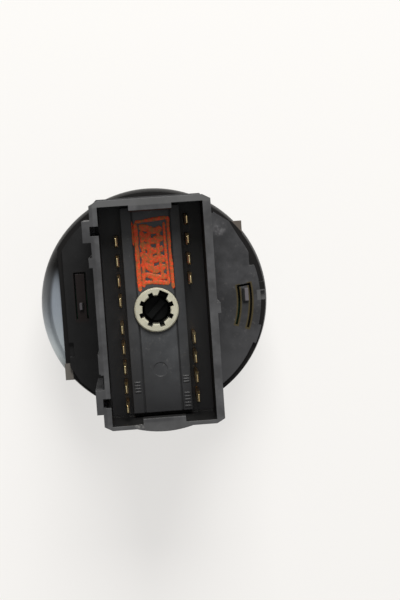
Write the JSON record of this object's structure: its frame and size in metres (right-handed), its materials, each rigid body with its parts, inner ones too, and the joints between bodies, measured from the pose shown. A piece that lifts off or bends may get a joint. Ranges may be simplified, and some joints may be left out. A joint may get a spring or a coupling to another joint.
{
  "type": "vehicle headlight switch",
  "caption": "Rotary headlight switch with a pull-out knob, round bezel, clip-in carrier, splined hub and keyed connector shroud with flat terminals.",
  "frame": {"origin": "centre of the knob's flat face, on the turning axis", "axes": "+Z from the knob towards the connector's open end, +X across the connector from the keyed wall to the plain wall, +Y along the terminal rows towards the end with the deeper latch boss"},
  "size_m": [0.062, 0.062, 0.06],
  "materials": {
    "black_plastic": "fine matt grain",
    "dark_grey_plastic": "fine matt grain",
    "dial_black": "satin",
    "satin_silver": "satin silver coat",
    "clear_plastic": "clear, polished",
    "board_green": "solder mask",
    "lamp_white": "moulded white",
    "ivory_plastic": "satin ivory",
    "brass": "stamped, lightly tarnished",
    "spring_steel": "bright spring steel",
    "soft_black": "soft-touch matt",
    "bright_trim": "bright",
    "white_plastic": "gloss white"
  },
  "bodies": {
    "housing": {"rear_housing": "black_plastic", "front_carrier": "black_plastic", "bezel_ring": "satin_silver", "dial_plate": "dial_black", "light_guide": "clear_plastic", "led_board": "board_green", "bearing_plate": "dark_grey_plastic", "terminal_block": "dark_grey_plastic", "turn_detent_spring": "spring_steel", "pull_detent_spring": "spring_steel", "terminal_right_1": "brass", "terminal_right_2": "brass", "terminal_right_3": "brass", "terminal_right_4": "brass", "terminal_right_5": "brass", "terminal_right_6": "brass", "terminal_right_7": "brass", "terminal_right_8": "brass", "terminal_left_1": "brass", "terminal_left_2": "brass", "terminal_left_3": "brass", "terminal_left_4": "brass", "terminal_left_5": "brass", "terminal_left_6": "brass", "terminal_left_7": "brass", "terminal_left_8": "brass", "terminal_left_9": "brass", "led_1": "lamp_white", "led_2": "lamp_white", "led_3": "lamp_white", "led_4": "lamp_white", "track_feed": "brass", "track_park": "brass", "track_low_beam": "brass", "track_automatic": "brass", "board_lead_right": "brass", "board_lead_left": "brass", "fog_strip_right": "brass", "fog_strip_left": "brass"},
    "rotor": {"rotor": "ivory_plastic", "wiper_right": "brass", "wiper_left": "brass", "wiper_top": "brass"},
    "knob": {"knob": "soft_black", "knob_shaft": "black_plastic", "knob_trim": "bright_trim", "knob_pointer": "white_plastic"},
    "fog_slider": {"fog_slider": "dark_grey_plastic", "fog_bridge_right": "brass", "fog_bridge_left": "brass"}
  },
  "joints": [
    {"name": "rotor_turn", "type": "hinge", "parent": "housing", "child": "rotor", "pos_m": [0, 0, 0.04], "axis": [0, 0, 1], "range_deg": [-30, 60], "deforming": ["turn_detent_spring"]},
    {"name": "knob_pull", "type": "slide", "parent": "rotor", "child": "knob", "axis": [0, 0, -1], "range_m": [0, 0.006], "deforming": ["pull_detent_spring"]},
    {"name": "fog_slide", "type": "slide", "parent": "housing", "child": "fog_slider", "axis": [0, 0, -1], "range_m": [0, 0.006]}
  ],
  "couplings": [
    {"joint": "fog_slide", "follows": "knob_pull", "ratio": 1}
  ]
}
